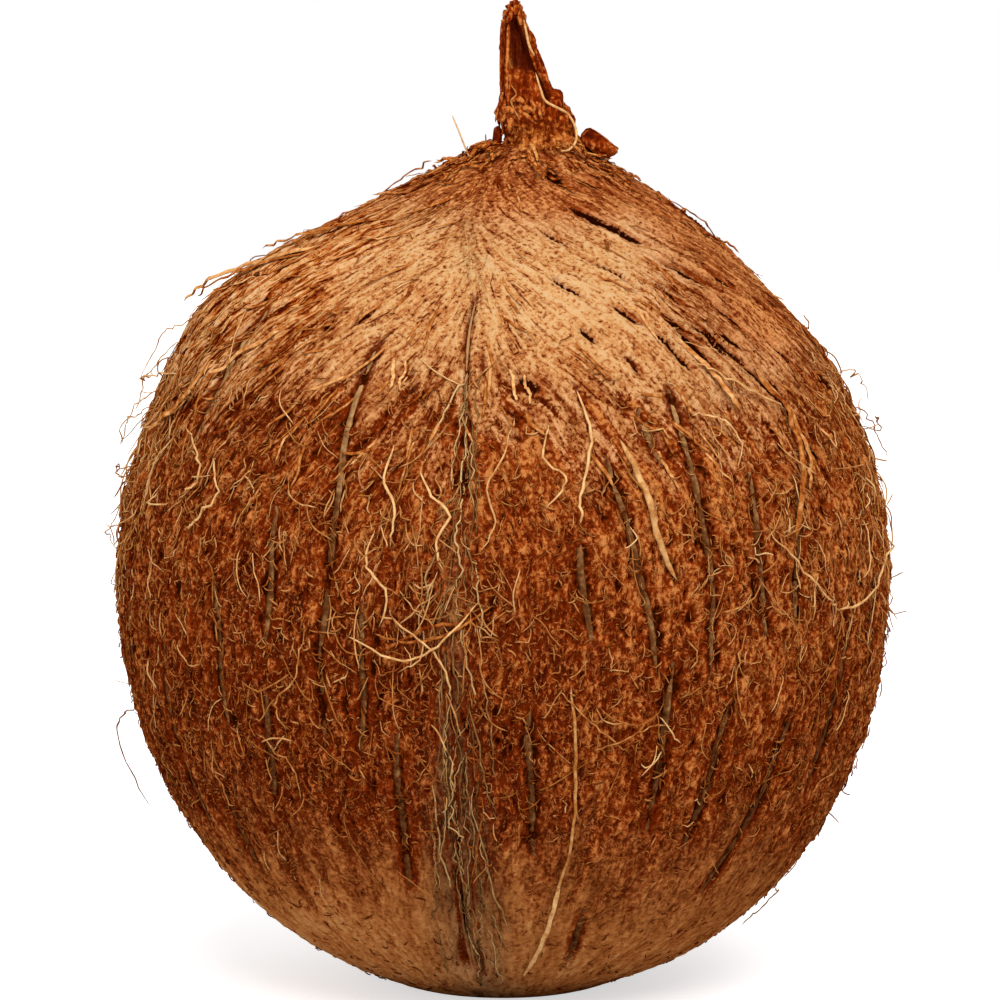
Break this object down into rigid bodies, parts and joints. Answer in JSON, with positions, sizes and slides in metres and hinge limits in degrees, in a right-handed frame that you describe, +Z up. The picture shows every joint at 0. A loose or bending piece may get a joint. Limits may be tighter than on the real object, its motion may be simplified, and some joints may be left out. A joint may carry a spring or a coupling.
{
  "type": "coconut",
  "caption": "Whole dehusked coconut in its brown fibre coat, with three meridian seams and a torn tuft of husk standing over the stem end. It stands on a small flat spot.",
  "frame": {"origin": "centre of the small flat spot that it rests on, in the middle of the object's footprint", "axes": "+Z up, from the resting spot to the tuft over the stem end; the plainest seam faces -Y; +X to the right of someone who faces that seam"},
  "size_m": [0.12, 0.1202, 0.152],
  "materials": {
    "fibre_coat": "dry, matt red-brown coir and pith, streaked from stem to base, paler and tan over the crown",
    "husk_tuft": "torn husk, darker red-brown, with frayed edges and paler strands",
    "shell_vein": "smooth grey-brown cords that lie in the coat, dull with a faint sheen",
    "loose_fibre": "dry straw-coloured coir strands, curled, with a slight sheen along each"
  },
  "bodies": {
    "root": {"coconut": "fibre_coat"}
  },
  "joints": []
}
